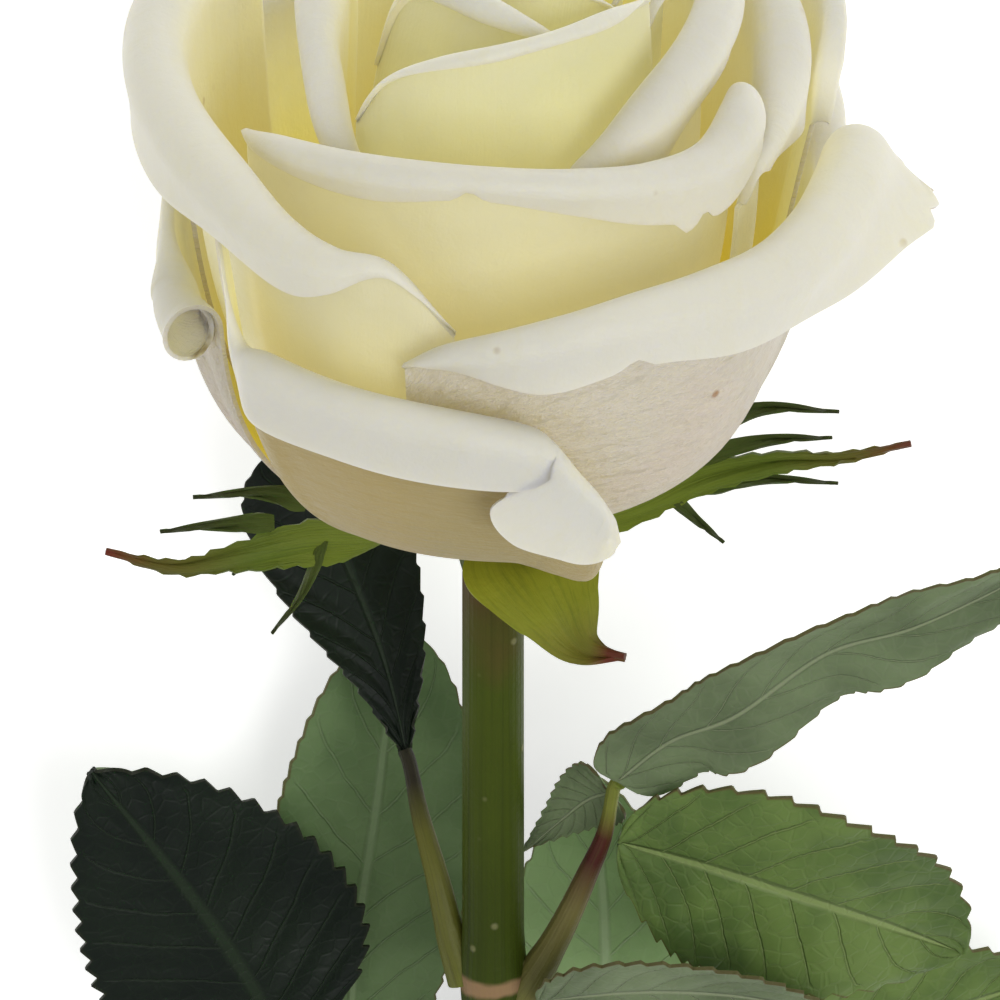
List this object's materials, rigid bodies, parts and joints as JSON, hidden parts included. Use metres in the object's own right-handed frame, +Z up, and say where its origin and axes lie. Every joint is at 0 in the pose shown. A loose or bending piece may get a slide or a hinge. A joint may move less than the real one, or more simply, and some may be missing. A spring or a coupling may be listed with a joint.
{
  "type": "cut rose",
  "caption": "Long-stemmed white rose with a half-open bloom of rolled petals, sepals, leaves and a prickly stem, lying flat.",
  "frame": {"origin": "on the surface that the rose lies on, under the middle of its bounding box", "axes": "+Y along the stem from its cut end towards the bloom, +Z up from the surface, +X to the right seen from above with the bloom at the top"},
  "size_m": [0.1076, 0.3954, 0.0686],
  "materials": {
    "petal": "soft, faintly velvety, cream white",
    "leaf": "satin dark green, paler underneath",
    "sepal": "matt yellow-green with reddish tips",
    "stalk": "satin green",
    "stem": "satin olive green",
    "receptacle": "satin green",
    "prickle": "satin reddish brown"
  },
  "bodies": {
    "root": {"leaflet_behind_bloom": "leaf", "leaflet_broad_right": "leaf", "leaflet_dark_left": "leaf", "leaflet_front_right": "leaf", "leaflet_long_right": "leaf", "leaflet_low_inner_left": "leaf", "leaflet_low_left": "leaf", "leaflet_low_right": "leaf", "leaflet_outer_left": "leaf", "leaflet_outer_right": "leaf", "leaflet_pale_left": "leaf", "leaflet_pale_right": "leaf", "leaflet_small": "leaf", "leaflet_tip_right": "leaf", "petal_back": "petal", "petal_bud_1": "petal", "petal_bud_2": "petal", "petal_bud_3": "petal", "petal_bud_4": "petal", "petal_bud_5": "petal", "petal_bud_6": "petal", "petal_front": "petal", "petal_front_left": "petal", "petal_front_right": "petal", "petal_heart_back": "petal", "petal_heart_front": "petal", "petal_heart_left": "petal", "petal_heart_right": "petal", "petal_inner_back": "petal", "petal_inner_left": "petal", "petal_inner_right": "petal", "petal_left": "petal", "petal_left_curl": "petal", "petal_right": "petal", "petal_right_back": "petal", "petal_under_left": "petal", "petal_under_right": "petal", "prickle_1": "prickle", "prickle_2": "prickle", "prickle_3": "prickle", "prickle_4": "prickle", "receptacle": "receptacle", "sepal_front": "sepal", "sepal_left": "sepal", "sepal_right": "sepal", "sepal_under_left": "sepal", "sepal_under_right": "sepal", "stalk_lower_left": "stalk", "stalk_lower_right": "stalk", "stalk_upper_left": "stalk", "stalk_upper_right": "stalk", "stem": "stem"}
  },
  "joints": []
}
